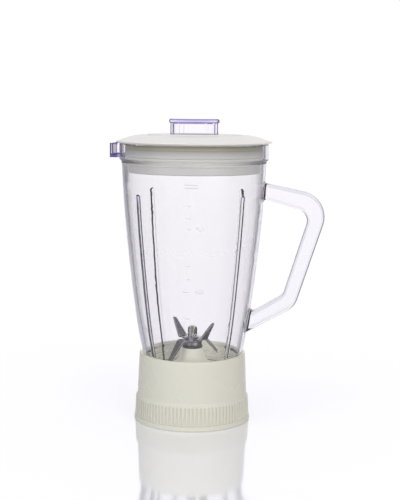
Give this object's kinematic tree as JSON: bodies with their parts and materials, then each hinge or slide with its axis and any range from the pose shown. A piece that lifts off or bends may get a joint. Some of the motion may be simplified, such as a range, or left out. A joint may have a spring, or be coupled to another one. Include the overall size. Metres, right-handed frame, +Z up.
{
  "type": "blender jug",
  "caption": "Clear tapered blender jug with loop handle and spout, ivory lid with clear filler cap, steel cutter on a tower, and a ribbed screw collar that drops onto a motor base.",
  "frame": {"origin": "on the jug's axis, in the plane that the collar stands on", "axes": "+Z up along the jug's axis, +X towards the handle, -X towards the spout"},
  "size_m": [0.1865, 0.136, 0.2645],
  "materials": {
    "clear_plastic": "clear, polished",
    "ivory_plastic": "smooth satin-gloss moulding",
    "white_lid_plastic": "smooth satin-gloss moulding",
    "seal_silicone": "soft, slightly translucent",
    "black_rubber": "matt",
    "stainless_blade": "brushed sheet",
    "polished_steel": "turned and polished",
    "sintered_bronze": "porous sintered bronze",
    "aluminium_sleeve": "turned",
    "coupling_plastic": "matt glass-filled"
  },
  "bodies": {
    "jug": {"jug": "clear_plastic"},
    "lid": {"lid": "white_lid_plastic", "lid_seal_ring": "seal_silicone"},
    "filler_cap": {"filler_cap": "clear_plastic"},
    "blade_unit": {"blade_base": "ivory_plastic", "jug_gasket": "black_rubber", "shaft_seal": "black_rubber", "bearing_sleeve": "aluminium_sleeve", "upper_bearing": "sintered_bronze", "lower_bearing": "sintered_bronze", "upper_thrust_washer": "polished_steel", "lower_thrust_washer": "polished_steel"},
    "collar": {"collar": "ivory_plastic"},
    "rotor": {"blade_shaft": "polished_steel", "blade_spacer": "polished_steel", "lower_blade": "stainless_blade", "upper_blade": "stainless_blade", "blade_lock_washer": "polished_steel", "acorn_nut": "polished_steel", "retaining_clip": "polished_steel", "drive_coupling": "coupling_plastic", "coupling_insert": "polished_steel"}
  },
  "joints": [
    {"name": "lid_lift", "type": "slide", "parent": "jug", "child": "lid", "axis": [0, 0, 1], "range_m": [0, 0.06]},
    {"name": "cap_lift", "type": "slide", "parent": "lid", "child": "filler_cap", "axis": [0, 0, 1], "range_m": [0, 0.04]},
    {"name": "blade_unit_drop", "type": "slide", "parent": "jug", "child": "blade_unit", "axis": [0, 0, 1], "range_m": [-0.012, 0]},
    {"name": "collar_turn", "type": "hinge", "parent": "blade_unit", "child": "collar", "pos_m": [0, 0, 0.03], "axis": [0, 0, 1], "range_deg": [-1080, 0]},
    {"name": "blade_spin", "type": "hinge", "parent": "blade_unit", "child": "rotor", "pos_m": [0, 0, 0.05], "axis": [0, 0, 1], "continuous": true}
  ],
  "couplings": [
    {"joint": "blade_unit_drop", "follows": "collar_turn", "m_per_rad": 0.00063662}
  ]
}
